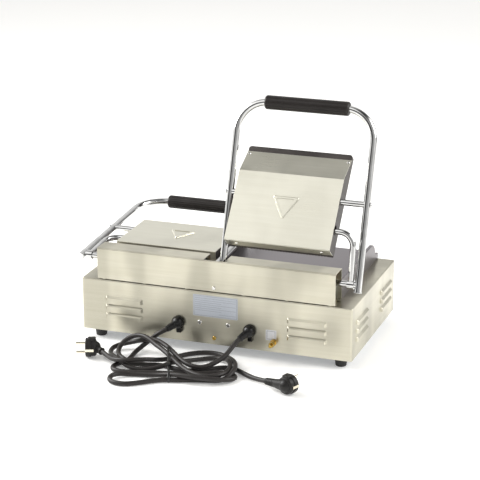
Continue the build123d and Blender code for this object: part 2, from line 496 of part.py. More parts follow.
save("rear_screws", pan_screw(30, 64, 5.2, 2.8, 2.5, 9), pan_screw(-30, 64, 5.2, 2.8, 2.5, 9), hs)
earth = pan_screw(0, 33, 4.3, 2.4, 2.1, 9)
# the stud's shank is its thread's core; only the free end past the last nut is modelled at the full M6 radius
STUD_CORE = 2.5
stud = rod_y(STUD_CORE, rear - 10, rear + 21, -126, 41.5) + rod_y(3.0, rear + 20.2, rear + 27, -126, 41.5)
nuts = []
for y in (rear + 0.6, rear + 7.4, rear + 14.2):
    n = hexagon((-126, y, 41.5), (0, 1, 0), 10.0, 5.4)
    nuts.append(n - rod_y(STUD_CORE, y - 1, y + 8, -126, 41.5))
washer = rod_y(6.3, rear + 6.0, rear + 7.4, -126, 41.5) - rod_y(STUD_CORE, rear, rear + 10, -126, 41.5)
save("earthing_hardware", stud, *nuts, washer, earth)
save("terminal_block", fillet(block(-38, 38, 96, 122, 21.2, 42).edges().filter_by(Axis.Z), 2.0))


# ------------------------------------------------------------ glands, leads, hank, plugs
def unit(v):
    n = math.sqrt(sum(q * q for q in v))
    return tuple(q / n for q in v)


def along(p, d, k):
    return tuple(p[i] + k * d[i] for i in range(3))


EXIT = {"a": unit((0.60, 0.72, -0.35)), "b": unit((0.45, 0.83, -0.33))}
NOSE = 27.0
glands = []
exits = {}
for key, s in (("a", 1), ("b", -1)):
    c = (s * GLAND_X, rear + 5.5, GLAND_Z)
    d = EXIT[key]
    g = rod_y(13.2, rear, rear + 6.0, c[0], GLAND_Z)
    g = g + (Pos(*c) * Sphere(12.4) & block(c[0] - 15, c[0] + 15, rear, rear + 20, GLAND_Z - 15, GLAND_Z + 15))
    g = g + cone(c, d, 8.6, 6.3, NOSE)
    g = g + block(c[0] - 4.6 - 3, c[0] + 4.6 - 3, rear, rear + 9.5, GLAND_Z - 19.5, GLAND_Z - 8)
    g = g + rod_y(9.0, rear - 12, rear, c[0], GLAND_Z)
    g = g + hexagon((c[0], rear - 1.4 - 5, GLAND_Z), (0, 1, 0), 25.0, 5.0)
    glands.append(g)
    exits[key] = along(c, d, NOSE)
save("cable_glands", *glands)


def cord(points, label):
    """Round cord along straight runs joined by arcs as large as the runs allow."""
    rad = []
    for i in range(1, len(points) - 1):
        a, b, c = Vector(*points[i - 1]), Vector(*points[i]), Vector(*points[i + 1])
        turn = math.radians((b - a).get_angle(c - b))
        rad.append(0.45 * min((b - a).length, (c - b).length) / math.tan(turn / 2))
    path = FilletPolyline(*points, radius=rad)
    tube = tube_along(path, CORD_R)
    print(label, "radii", [round(q) for q in rad], "length", round(path.length, 1), "volume ratio", round(tube.volume / (path.length * math.pi * CORD_R ** 2), 4))
    return tube


PLUG_A, YAW_A, NECK_A = (228.0, 250.0, 19.2), 19.7, unit((-0.88, 0.46, -0.08))       # head's middle, pins' heading, neck's direction
PLUG_B, YAW_B, NECK_B = (-203.0, 300.0, 19.2), -111.7, unit((0.885, -0.455, -0.13))
NECK_LEN_A, NECK_LEN_B = 24.0, 54.0


def plug(centre, yaw, neck, NECK_LEN, ribbed):
    """Round moulded head with two pins, two side contacts and a grip lug; the lead's neck leaves it at the back."""
    q = math.radians(-yaw)
    nk = (neck[0] * math.cos(q) - neck[1] * math.sin(q), neck[0] * math.sin(q) + neck[1] * math.cos(q), neck[2])
    disc = rod_x(18.9, -2, 9, 0, 0)
    disc = fillet(disc.edges().filter_by(GeomType.CIRCLE), 1.4)
    rearward = rod_x(17.4, -12.5, 0, 0, 0)
    rearward = fillet(rearward.edges().filter_by(GeomType.CIRCLE).group_by(Axis.X)[0], 4.0)
    lug = block(-11.5, 4.5, -7.0, 7.0, 6, 21.0)
    lug = fillet(lug.edges(), 2.2)
    hub = (-8.0, 0.0, 0.0)
    body = disc + rearward + lug + (Pos(*hub) * Sphere(13.4))
    if ribbed:
        body = body + cone(hub, nk, 13.2, 8.4, NECK_LEN - 26.0)
        body = body + cone(along(hub, nk, NECK_LEN - 27.0), nk, 7.6, 6.0, 27.0)
        for k in range(6):
            body = body + rod(along(hub, nk, NECK_LEN - 25.4 + 4.3 * k), nk, 8.4 - 0.3 * k, 2.1)
    else:
        body = body + cone(hub, nk, 12.6, 6.8, NECK_LEN - 8.0)
        body = body + cone(along(hub, nk, NECK_LEN - 9.0), nk, 6.2, 7.6, 9.0)
    pins = [rod_x(2.4, 5.0, 28.0, 0, z) for z in (-9.5, 9.5)]
    strips = [block(-8.0, 9.2, y * 18.0 - 1.4, y * 18.0 + 1.4, -2.6, 2.6) for y in (-1, 1)]
    body = body - [rod_x(2.4, 5.0, 28.0, 0, z) for z in (-9.5, 9.5)] - [block(-8.0, 12.0, y * 18.0 - 1.4, y * 18.0 + 1.4, -2.6, 2.6) for y in (-1, 1)]
    put = Pos(*centre) * Rot(0, 0, yaw)
    return put * body, [put * p for p in pins], [put * p for p in strips], along(along(centre, (math.cos(math.radians(yaw)), math.sin(math.radians(yaw)), 0), -8.0), neck, NECK_LEN)


body_a, pins_a, strips_a, tail_a = plug(PLUG_A, YAW_A, NECK_A, NECK_LEN_A, False)
body_b, pins_b, strips_b, tail_b = plug(PLUG_B, YAW_B, NECK_B, NECK_LEN_B, True)
print("plug solids", len(body_a.solids()), len(body_b.solids()), "house solids", len(house.solids()))
print("plug ends", tail_a, tail_b, "gland ends", exits)
save("plug_a", body_a)
save("plug_b", body_b)
save("plug_pins_a", *pins_a, *strips_a)
save("plug_pins_b", *pins_b, *strips_b)

LEAD_A = [exits["a"], (104, 193.5, 43), (121, 198.5, 30), (139, 206, 14)]
LEAD_B = [exits["b"], (-55, 200.5, 42), (-45, 229, 27), (-26, 254, 17)]
TAIL_A = [tail_a, (184, 270, 16), (168, 284.5, 16.5), (148, 291, 15)]
TAIL_B = [tail_b, (-134, 272, 8.3), (-113, 258.5, 5.3), (-92, 244, 5), (-74, 234, 5)]
save("cord_a_lead", cord(LEAD_A, "lead a"))
save("cord_b_lead", cord(LEAD_B, "lead b"))
save("cord_a_tail", cord(TAIL_A, "tail a"))
save("cord_b_tail", cord(TAIL_B, "tail b"))

OUTLINE = [(-2, 158.5), (24, 163.5), (48, 180), (64, 201), (71, 213), (80, 206), (100, 195.5), (116, 182.5), (140, 187), (155, 181.5),
           (175, 181), (192, 189), (202.5, 204), (203.5, 221), (196, 241), (179, 266), (172, 290), (166, 302), (158, 314), (146, 322),
           (140, 327), (148, 340), (149.5, 350), (146, 362), (137, 371.5), (122, 377), (100, 375), (74, 357), (53, 339.5), (33, 329),
           (15, 326), (-5, 326), (-40, 323), (-73, 308), (-90, 289), (-93.5, 272), (-88, 258), (-84, 246), (-73, 215), (-52, 186), (-28, 164.5)]
PAIR = [(58, 221), (80, 205), (100, 195), (125, 190), (146, 190), (162, 190), (174, 198), (176, 208), (160, 206), (130, 213), (100, 228),
        (84, 242), (66, 256), (54, 246)]              # where two turns pass over lead a
CROSSING = [(10, 262), (30, 247), (58, 221), (66, 256), (44, 276), (20, 294), (6, 288)]
TAIL_BED = [(84, 262), (98, 262), (118, 277), (140, 287), (166, 277), (172, 290), (152, 301), (124, 302), (106, 293), (86, 276)]


def layer(points, height):
    return extrude(Plane.XY * make_face(Polyline(*points, close=True)), height)


hank = layer(OUTLINE, 21.5) + layer(PAIR, 43.5) + layer(CROSSING, 32.0) + layer(TAIL_BED, 27.5)
TIE_PLACE = Pos(50, 277, 0) * Rot(0, 0, 22)
TIE_W = 5.0
ring = [(-59.6, 0), (54.8, 0), (54.8, 9.6), (45.6, 16.9), (-21.6, 33.0), (-53.6, 33.9), (-59.6, 28.8)]
hole = [(-58.2, 1.4), (53.4, 1.4), (53.4, 8.9), (45.0, 15.5), (-22.0, 31.6), (-53.0, 32.5), (-58.2, 28.1)]
tie = TIE_PLACE * (prism_x(ring, -TIE_W / 2, TIE_W / 2) - prism_x(hole, -4, 4))
band = TIE_PLACE * (prism_x([(-85, -1), (85, -1), (85, 50), (-85, 50)], -TIE_W / 2, TIE_W / 2) - prism_x(hole, -4, 4))
save("cord_hank", hank - band)
save("cord_tie", tie)
print("done")
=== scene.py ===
import math

import bmesh
import bpy
from mathutils import Matrix, Vector


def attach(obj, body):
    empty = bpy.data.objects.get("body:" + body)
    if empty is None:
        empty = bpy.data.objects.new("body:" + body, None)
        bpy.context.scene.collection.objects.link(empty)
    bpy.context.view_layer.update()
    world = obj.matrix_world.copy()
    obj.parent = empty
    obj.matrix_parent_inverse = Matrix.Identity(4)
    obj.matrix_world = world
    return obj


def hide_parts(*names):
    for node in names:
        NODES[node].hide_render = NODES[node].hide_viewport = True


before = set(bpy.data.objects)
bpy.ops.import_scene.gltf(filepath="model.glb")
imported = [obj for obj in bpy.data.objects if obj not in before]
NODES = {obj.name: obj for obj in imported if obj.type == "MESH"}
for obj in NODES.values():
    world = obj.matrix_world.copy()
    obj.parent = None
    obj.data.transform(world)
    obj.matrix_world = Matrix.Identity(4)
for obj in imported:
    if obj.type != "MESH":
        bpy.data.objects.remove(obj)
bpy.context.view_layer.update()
MM = 0.001
FY = 14.058          # row frame y = design y + FY, in millimetres


def P(x, y, z):
    """A point of the design, in millimetres, as metres in the row frame."""
    return Vector((x * MM, (y + FY) * MM, z * MM))


# ------------------------------------------------------------ camera
AZ, EL, ROLL, FPX, DIST = 19.663, 18.424, -0.172, 1842.84, 3788.49
TARGET = (9.465, -25.278, 181.049)
a, e, r = math.radians(AZ), math.radians(EL), math.radians(ROLL)
back = Vector((-math.sin(a) * math.cos(e), math.cos(a) * math.cos(e), math.sin(e)))
right = (-back).cross(Vector((0, 0, 1))).normalized()
up = right.cross(-back)
cam_x = right * math.cos(r) + up * math.sin(r)
cam_y = up * math.cos(r) - right * math.sin(r)
cam_data = bpy.data.cameras.new("camera")
cam_data.sensor_width = 36.0
cam_data.lens = FPX * 36.0 / 480.0
cam_data.clip_start, cam_data.clip_end = 0.05, 60.0
camera = bpy.data.objects.new("camera", cam_data)
bpy.context.scene.collection.objects.link(camera)
where = P(*TARGET) + back * DIST * MM
m = Matrix((cam_x, cam_y, back)).transposed().to_4x4()
m.translation = where
camera.matrix_world = m
bpy.context.scene.camera = camera

scene = bpy.context.scene
scene.view_settings.view_transform = "Standard"
scene.view_settings.look = "None"
scene.view_settings.exposure = 0.0
scene.view_settings.gamma = 1.0


# ------------------------------------------------------------ node helpers
class Graph:
    def __init__(self, tree):
        self.t = tree
        self.n = tree.nodes
        self.l = tree.links

    def add(self, kind, **kw):
        node = self.n.new(kind)
        for k, v in kw.items():
            setattr(node, k, v)
        return node

    def link(self, a, b):
        self.l.new(a, b)

    def set(self, node, **kw):
        for k, v in kw.items():
            node.inputs[k].default_value = v
        return node

    def coord(self, out="Object", scale=(1, 1, 1), rot=(0, 0, 0), loc=(0, 0, 0)):
        tc = self.add("ShaderNodeTexCoord")
        mp = self.add("ShaderNodeMapping")
        mp.inputs["Scale"].default_value = scale
        mp.inputs["Rotation"].default_value = rot
        mp.inputs["Location"].default_value = loc
        self.link(tc.outputs[out], mp.inputs["Vector"])
        return mp.outputs["Vector"]

    def noise(self, vec, scale=1.0, detail=3.0, rough=0.55, dist=0.0):
        nz = self.add("ShaderNodeTexNoise")
        nz.inputs["Scale"].default_value = scale
        nz.inputs["Detail"].default_value = detail
        nz.inputs["Roughness"].default_value = rough
        nz.inputs["Distortion"].default_value = dist
        self.link(vec, nz.inputs["Vector"])
        return nz.outputs["Fac"]

    def math(self, op, a, b=None, c=None, clamp=False):
        mt = self.add("ShaderNodeMath", operation=op, use_clamp=clamp)
        for i, v in enumerate((a, b, c)):
            if v is None:
                continue
            if isinstance(v, (int, float)):
                mt.inputs[i].default_value = v
            else:
                self.link(v, mt.inputs[i])
        return mt.outputs[0]

    def remap(self, v, a, b, c, d, smooth=False):
        mr = self.add("ShaderNodeMapRange")
        if smooth:
            mr.interpolation_type = "SMOOTHSTEP"
        for k, x in zip(("From Min", "From Max", "To Min", "To Max"), (a, b, c, d)):
            mr.inputs[k].default_value = x
        self.link(v, mr.inputs["Value"])
        return mr.outputs["Result"]

    def ramp(self, v, stops, mode="LINEAR"):
        cr = self.add("ShaderNodeValToRGB")
        cr.color_ramp.interpolation = mode
        el = cr.color_ramp.elements
        while len(el) < len(stops):
            el.new(0.5)
        for x, (pos, col) in zip(el, stops):
            x.position = pos
            x.color = (*col, 1)
        self.link(v, cr.inputs["Fac"])
        return cr.outputs["Color"]

    def mixc(self, f, a, b, blend="MIX"):
        mx = self.add("ShaderNodeMix", data_type="RGBA", blend_type=blend)
        for sock, v in (("Factor", f), ("A", a), ("B", b)):
            i = {"Factor": 0, "A": 6, "B": 7}[sock]
            if isinstance(v, (int, float)):
                mx.inputs[i].default_value = v
            elif isinstance(v, tuple):
                mx.inputs[i].default_value = (*v, 1)
            else:
                self.link(v, mx.inputs[i])
        return mx.outputs[2]

    def bump(self, height, strength=0.3, distance=0.0005, normal=None):
        b = self.add("ShaderNodeBump")
        b.inputs["Strength"].default_value = strength
        b.inputs["Distance"].default_value = distance
        self.link(height, b.inputs["Height"])
        if normal is not None:
            self.link(normal, b.inputs["Normal"])
        return b.outputs["Normal"]


def material(name):
    mt = bpy.data.materials.new(name)
    mt.use_nodes = True
    g = Graph(mt.node_tree)
    return mt, g, g.n["Principled BSDF"]


def convex_edge_mask(g):
    """0 on flats, up to 1 on convex edges."""
    geo = g.add("ShaderNodeNewGeometry")
    return g.remap(geo.outputs["Pointiness"], 0.5, 0.56, 0.0, 1.0)


# ------------------------------------------------------------ materials
def brushed(name, light, dark, rough=0.30, aniso=0.65, painted_shade_depth=0.80, bumps=0.05):
    mt, g, b = material(name)
    tc = g.add("ShaderNodeTexCoord")
    sep = g.add("ShaderNodeSeparateXYZ")
    g.link(tc.outputs["Normal"], sep.inputs[0])
    side = g.remap(g.math("ABSOLUTE", sep.outputs["X"]), 0.6, 0.8, 0.0, 1.0)
    along_x = g.noise(g.coord(scale=(14, 1500, 1500)), 1.0, 4.0, 0.6)
    along_y = g.noise(g.coord(scale=(1500, 14, 1500)), 1.0, 4.0, 0.6)
    mix = g.add("ShaderNodeMix", data_type="FLOAT")
    g.link(side, mix.inputs[0])
    g.link(along_x, mix.inputs[2])
    g.link(along_y, mix.inputs[3])
    fine = mix.outputs[0]
    bx = g.noise(g.coord(scale=(7, 160, 160)), 1.0, 2.0, 0.5)
    by = g.noise(g.coord(scale=(160, 7, 160)), 1.0, 2.0, 0.5)
    mix2 = g.add("ShaderNodeMix", data_type="FLOAT")
    g.link(side, mix2.inputs[0])
    g.link(bx, mix2.inputs[2])
    g.link(by, mix2.inputs[3])
    streak = mix2.outputs[0]
    cloud = g.noise(g.coord(scale=(1, 1, 0.25)), 11.0, 2.0, 0.45)
    t = g.math("ADD", g.math("MULTIPLY", fine, 0.45), g.math("MULTIPLY", streak, 0.35))
    t = g.math("ADD", t, g.math("MULTIPLY", cloud, 0.2))
    col = g.mixc(g.remap(t, 0.3, 0.7, 0.0, 1.0), dark, light)
    # Painted shade: broad, vertically stretched darker blotches are multiplied into the colour, standing in for dark
    # things reflected in the steel.
    painted_shade = g.remap(cloud, 0.36, 0.60, painted_shade_depth, 1.0, True)
    col = g.mixc(1.0, col, g.mixc(painted_shade, (0.0, 0.0, 0.0), (1.0, 1.0, 1.0)), "MULTIPLY")
    g.link(col, b.inputs["Base Color"])
    b.inputs["Metallic"].default_value = 1.0
    g.link(g.remap(g.math("ADD", g.math("MULTIPLY", fine, 0.6), g.math("MULTIPLY", cloud, 0.4)), 0.25, 0.75, rough - 0.05, rough + 0.07), b.inputs["Roughness"])
    b.inputs["Anisotropic"].default_value = aniso
    b.inputs["Anisotropic Rotation"].default_value = 0.25      # the blur lies across the brushing
    vx = g.add("ShaderNodeCombineXYZ")
    vx.inputs[0].default_value = 1.0
    vy = g.add("ShaderNodeCombineXYZ")
    vy.inputs[1].default_value = 1.0
    mv = g.add("ShaderNodeMix", data_type="VECTOR")
    g.link(side, mv.inputs[0])
    g.link(vx.outputs[0], mv.inputs[4])
    g.link(vy.outputs[0], mv.inputs[5])
    g.link(mv.outputs[1], b.inputs["Tangent"])
    g.link(g.bump(fine, bumps, 0.0002), b.inputs["Normal"])
    return mt


STEEL = brushed("satin_stainless", (0.69, 0.662, 0.555), (0.585, 0.555, 0.443), painted_shade_depth=0.70)
STEEL_LID = brushed("satin_stainless_lid", (0.75, 0.735, 0.64), (0.67, 0.65, 0.55), rough=0.30, painted_shade_depth=0.92, bumps=0.03)


def galvanised():
    mt, g, b = material("galvanised_sheet")
    v = g.add("ShaderNodeTexVoronoi")
    v.inputs["Scale"].default_value = 140.0
    g.link(g.coord(), v.inputs["Vector"])
    n = g.noise(g.coord(), 60.0, 3.0)
    t = g.math("ADD", g.math("MULTIPLY", g.math("FRACT", g.math("MULTIPLY", v.outputs["Color"], 3.1)), 0.5), g.math("MULTIPLY", n, 0.5))
    g.link(g.mixc(t, (0.40, 0.42, 0.44), (0.62, 0.64, 0.66)), b.inputs["Base Color"])
    b.inputs["Metallic"].default_value = 1.0
    g.link(g.remap(t, 0.2, 0.8, 0.34, 0.52), b.inputs["Roughness"])
    g.link(g.bump(n, 0.1, 0.0003), b.inputs["Normal"])
    return mt


def chrome():
    mt, g, b = material("mirror_chrome")
    n = g.noise(g.coord(), 35.0, 3.0, 0.6)
    f = g.noise(g.coord(), 420.0, 2.0, 0.5)
    g.link(g.mixc(g.remap(n, 0.35, 0.65, 0, 1), (0.56, 0.56, 0.555), (0.70, 0.70, 0.695)), b.inputs["Base Color"])
    b.inputs["Metallic"].default_value = 1.0
    g.link(g.remap(g.math("ADD", g.math("MULTIPLY", n, 0.7), g.math("MULTIPLY", f, 0.3)), 0.35, 0.65, 0.035, 0.095), b.inputs["Roughness"])
    g.link(g.bump(n, 0.02, 0.0004), b.inputs["Normal"])
    return mt


def plain(name, c0, c1, rough=0.4, metal=0.0, grain=900.0, cloud=25.0, bump=0.15, dist=0.0002, spread=0.08, spec=0.5, coat=0.0, coat_rough=0.1, edge=None):
    mt, g, b = material(name)
    n = g.noise(g.coord(), grain, 3.0, 0.6)
    c = g.noise(g.coord(), cloud, 3.0, 0.55)
    t = g.math("ADD", g.math("MULTIPLY", n, 0.4), g.math("MULTIPLY", c, 0.6))
    col = g.mixc(g.remap(t, 0.3, 0.7, 0, 1), c0, c1)
    if edge is not None:
        # Convex edges lightened towards the edge colour, in patches.
        col = g.mixc(g.math("MULTIPLY", convex_edge_mask(g), g.remap(c, 0.35, 0.65, 0.2, 0.8)), col, edge)
    g.link(col, b.inputs["Base Color"])
    b.inputs["Metallic"].default_value = metal
    b.inputs["Specular IOR Level"].default_value = spec
    b.inputs["Coat Weight"].default_value = coat
    b.inputs["Coat Roughness"].default_value = coat_rough
    g.link(g.remap(t, 0.3, 0.7, rough - spread, rough + spread), b.inputs["Roughness"])
    g.link(g.bump(n, bump, dist), b.inputs["Normal"])
    return mt


GALV = galvanised()
CHROME = chrome()
RUBBER = plain("foot_rubber", (0.010, 0.010, 0.010), (0.022, 0.021, 0.020), 0.55, grain=700, bump=0.25)
GRIP = plain("grip_phenolic", (0.012, 0.0095, 0.0085), (0.022, 0.018, 0.0165), 0.36, grain=520, cloud=40, bump=0.12, spec=0.28, edge=(0.035, 0.032, 0.030))
BLACK = plain("moulded_black", (0.004, 0.004, 0.004), (0.009, 0.0085, 0.0085), 0.27, grain=650, bump=0.10, spec=0.32, edge=(0.016, 0.016, 0.016))
PLATE = plain("lower_plate_iron", (0.175, 0.160, 0.168), (0.220, 0.203, 0.212), 0.36, metal=0.75, grain=420, cloud=9, bump=0.10, dist=0.0003, spread=0.05)
LID_IRON = plain("lid_casting", (0.029, 0.024, 0.0225), (0.044, 0.037, 0.035), 0.48, metal=0.35, grain=380, cloud=14, bump=0.30, dist=0.0004, spec=0.35, edge=(0.085, 0.075, 0.070))
SHEATH = plain("heater_sheath", (0.16, 0.13, 0.11), (0.26, 0.22, 0.20), 0.42, metal=0.9, grain=300, cloud=20)
WOOL = plain("mineral_wool", (0.46, 0.42, 0.28), (0.62, 0.58, 0.44), 0.95, grain=350, cloud=60, bump=0.9, dist=0.0015, spec=0.2)
BRONZE = plain("sintered_bronze", (0.36, 0.22, 0.10), (0.48, 0.30, 0.14), 0.38, metal=1.0, grain=900, bump=0.2)
SPRING = plain("spring_black_oxide", (0.020, 0.021, 0.024), (0.045, 0.045, 0.050), 0.35, metal=0.7, grain=700)
SCREW = plain("stainless_fastener", (0.66, 0.65, 0.62), (0.78, 0.77, 0.74), 0.20, metal=1.0, grain=900, bump=0.05)
ZINC = plain("zinc_fastener", (0.52, 0.53, 0.54), (0.66, 0.67, 0.68), 0.34, metal=1.0, grain=700)
ALU = plain("aluminium_plate", (0.60, 0.64, 0.70), (0.68, 0.72, 0.78), 0.38, metal=0.35, grain=800, cloud=18, bump=0.04)


def ruled(name, c0, c1, ink, box, inset, width, rules, metal, rough):
    """Plate with a thin printed frame and ruled lines (x0, x1, z), nothing written on it; places in metres."""
    mt, g, b = material(name)
    n = g.noise(g.coord(), 800.0, 3.0, 0.6)
    c = g.noise(g.coord(), 22.0, 3.0, 0.5)
    col = g.mixc(g.remap(g.math("ADD", g.math("MULTIPLY", n, 0.4), g.math("MULTIPLY", c, 0.6)), 0.3, 0.7, 0, 1), c0, c1)
    tc = g.add("ShaderNodeTexCoord")
    sep = g.add("ShaderNodeSeparateXYZ")
    g.link(tc.outputs["Object"], sep.inputs[0])
    x, z = sep.outputs["X"], sep.outputs["Z"]

    def within(v, lo, hi):
        return g.math("MULTIPLY", g.math("GREATER_THAN", v, lo), g.math("LESS_THAN", v, hi))

    x0, x1, z0, z1 = box
    outer_f = g.math("MULTIPLY", within(x, x0 + inset, x1 - inset), within(z, z0 + inset, z1 - inset))
    inner_f = g.math("MULTIPLY", within(x, x0 + inset + width, x1 - inset - width), within(z, z0 + inset + width, z1 - inset - width))
    mark = g.math("SUBTRACT", outer_f, inner_f)
    for a0, a1, zz in rules:
        mark = g.math("MAXIMUM", mark, g.math("MULTIPLY", within(x, a0, a1), within(z, zz, zz + width)))
    g.link(g.mixc(g.math("MULTIPLY", mark, g.remap(n, 0.3, 0.7, 0.6, 0.9)), col, ink), b.inputs["Base Color"])
    b.inputs["Metallic"].default_value = metal
    g.link(g.remap(c, 0.3, 0.7, rough - 0.06, rough + 0.06), b.inputs["Roughness"])
    g.link(g.bump(n, 0.04, 0.0002), b.inputs["Normal"])
    return mt


LABEL = ruled("bonding_label_print", (0.60, 0.61, 0.64), (0.70, 0.71, 0.74), (0.06, 0.06, 0.07), (-0.1305, -0.1085, 0.0435, 0.0655), 0.0022, 0.0009, (), 0.0, 0.45)
RATING = ruled("rating_plate_print", (0.42, 0.45, 0.50), (0.52, 0.55, 0.60), (0.10, 0.10, 0.12), (-0.050, 0.044, 0.077, 0.122), 0.0018, 0.0005,
               [(-0.046, 0.040, 0.1150)] + [(-0.046 + 0.030 * (i % 2 == 1), 0.040, 0.1105 - 0.0042 * i) for i in range(6)] + [(-0.046, -0.010, 0.0835)], 0.35, 0.38)
BAKELITE = plain("bakelite", (0.030, 0.020, 0.015), (0.055, 0.040, 0.030), 0.40, grain=260, bump=0.2)
CERAMIC = plain("glazed_ceramic", (0.72, 0.70, 0.64), (0.80, 0.78, 0.72), 0.22, grain=300, bump=0.04, coat=0.4)
BRASS = plain("bright_brass", (0.62, 0.42, 0.10), (0.78, 0.56, 0.17), 0.22, metal=1.0, grain=500, cloud=90, bump=0.06)
NICKEL = plain("nickel_pins", (0.66, 0.60, 0.47), (0.80, 0.75, 0.62), 0.18, metal=1.0, grain=600, bump=0.04)
CORD = plain("cord_rubber", (0.019, 0.0160, 0.0148), (0.030, 0.0260, 0.0245), 0.44, grain=1200, cloud=55, bump=0.12, dist=0.00012, spread=0.06, spec=0.36)
PLUG = plain("plug_rubber", (0.008, 0.0072, 0.0066), (0.015, 0.0138, 0.013), 0.42, grain=800, bump=0.18, spec=0.30, edge=(0.030, 0.028, 0.026))
TIE = plain("tie_nylon", (0.009, 0.009, 0.009), (0.016, 0.016, 0.016), 0.35, grain=600, bump=0.1)


def lens():
    mt, g, b = material("lamp_lens")
    tc = g.add("ShaderNodeTexCoord")
    sep = g.add("ShaderNodeSeparateXYZ")
    g.link(tc.outputs["Object"], sep.inputs[0])
    f = g.math("GREATER_THAN", sep.outputs["Z"], 0.072)
    n = g.noise(g.coord(), 320.0, 2.0)
    green = g.mixc(n, (0.01, 0.16, 0.035), (0.02, 0.26, 0.06))
    amber = g.mixc(n, (0.50, 0.16, 0.008), (0.70, 0.26, 0.02))
    g.link(g.mixc(f, amber, green), b.inputs["Base Color"])
    b.inputs["Roughness"].default_value = 0.12
    b.inputs["Coat Weight"].default_value = 0.6
    g.link(g.bump(n, 0.25, 0.0006), b.inputs["Normal"])
    return mt


def rocker():
    mt, g, b = material("rocker_green")
    n = g.noise(g.coord(), 500.0, 2.0)
    g.link(g.mixc(n, (0.008, 0.13, 0.03), (0.014, 0.20, 0.05)), b.inputs["Base Color"])
    b.inputs["Roughness"].default_value = 0.2
    b.inputs["Coat Weight"].default_value = 0.5
    g.link(g.bump(n, 0.05, 0.0002), b.inputs["Normal"])
    return mt


def pointer_knob():
    """Moulded black with a white-filled pointer ridge on the cap; places in metres."""
    mt, g, b = material("knob_black")
    n = g.noise(g.coord(), 650.0, 3.0, 0.6)
    c = g.noise(g.coord(), 40.0, 2.0)
    col = g.mixc(c, (0.005, 0.005, 0.005), (0.011, 0.0105, 0.0105))
    tc = g.add("ShaderNodeTexCoord")
    sep = g.add("ShaderNodeSeparateXYZ")
    g.link(tc.outputs["Object"], sep.inputs[0])
    off = g.math("ABSOLUTE", g.math("SUBTRACT", g.math("ABSOLUTE", sep.outputs["X"]), 0.165))
    mark = g.math("MULTIPLY", g.math("LESS_THAN", off, 0.00125), g.math("MULTIPLY", g.math("GREATER_THAN", sep.outputs["Z"], 0.0738), g.math("LESS_THAN", sep.outputs["Z"], 0.0847)))
    g.link(g.mixc(g.math("MULTIPLY", mark, g.remap(n, 0.3, 0.7, 0.85, 1.0)), col, (0.72, 0.72, 0.70)), b.inputs["Base Color"])
    b.inputs["Specular IOR Level"].default_value = 0.35
    g.link(g.remap(c, 0.3, 0.7, 0.26, 0.36), b.inputs["Roughness"])
    g.link(g.bump(n, 0.10, 0.0002), b.inputs["Normal"])
    return mt


LENS, ROCKER, KNOB = lens(), rocker(), pointer_knob()

FINISH = {
    "base_shell": STEEL, "hinge_housing": STEEL, "drip_tray": STEEL, "lid_cover_left": STEEL_LID, "lid_cover_right": STEEL_LID,
    "base_bottom": GALV, "heat_shield_pan": GALV, "drip_tray_guide": GALV, "bearing_brackets": GALV,
    "feet": RUBBER, "foot_screws": ZINC, "rear_screws": SCREW, "cover_screws_left": SCREW, "cover_screws_right": SCREW,
    "lower_plate": PLATE, "lid_plate_left": LID_IRON, "lid_plate_right": LID_IRON,
    "lower_heaters": SHEATH, "lid_heater_left": SHEATH, "lid_heater_right": SHEATH,
    "lower_insulation": WOOL, "lid_insulation_left": WOOL, "lid_insulation_right": WOOL,
    "shaft_bushes": BRONZE, "counter_springs": SPRING,
    "arm_tube_left": CHROME, "arm_tube_right": CHROME, "arm_shaft_left": CHROME, "arm_shaft_right": CHROME,
    "lid_cross_rod_left": CHROME, "lid_cross_rod_right": CHROME, "arm_end_fittings_left": CHROME, "arm_end_fittings_right": CHROME,
    "stay_tube_left": CHROME, "stay_tube_right": CHROME,
    "grip_left": GRIP, "grip_right": GRIP, "knob_left": KNOB, "knob_right": KNOB, "switch_frames": BLACK,
    "switch_rocker_left": ROCKER, "switch_rocker_right": ROCKER, "pilot_lamps": LENS, "dial_plates": ALU, "rating_plate": RATING,
    "bonding_label": LABEL, "thermostats": BAKELITE, "terminal_block": CERAMIC, "earthing_hardware": BRASS, "cable_glands": BLACK,
    "plug_a": PLUG, "plug_b": PLUG, "plug_pins_a": NICKEL, "plug_pins_b": NICKEL,
    "cord_a_lead": CORD, "cord_b_lead": CORD, "cord_a_tail": CORD, "cord_b_tail": CORD, "cord_hank": CORD, "cord_tie": TIE,
}
for name, node in NODES.items():
    node.data.materials.clear()
    node.data.materials.append(FINISH[name])


# ------------------------------------------------------------ mesh helpers
def link(ob):
    bpy.context.scene.collection.objects.link(ob)
    return ob


def from_bmesh(bm, name, mat, smooth=True):
    me = bpy.data.meshes.new(name)
    bm.to_mesh(me)
    bm.free()
    me.materials.append(mat)
    for p in me.polygons:
        p.use_smooth = smooth
    return link(bpy.data.objects.new(name, me))


def nurbs(points, name, radius, mat, res=10):
    """Cord on a quadratic NURBS line through the route's control points (design millimetres)."""
    cu = bpy.data.curves.new(name, "CURVE")
    cu.dimensions = "3D"
    sp = cu.splines.new("NURBS")
    sp.points.add(len(points) - 1)
    for q, (x, y, z) in zip(sp.points, points):
        q.co = (*P(x, y, z), 1.0)
    sp.order_u = 3
    sp.use_endpoint_u = True
    sp.resolution_u = res
    cu.bevel_depth = radius * MM
    cu.bevel_resolution = 6
    cu.use_fill_caps = True
    cu.materials.append(mat)
    return link(bpy.data.objects.new(name, cu))


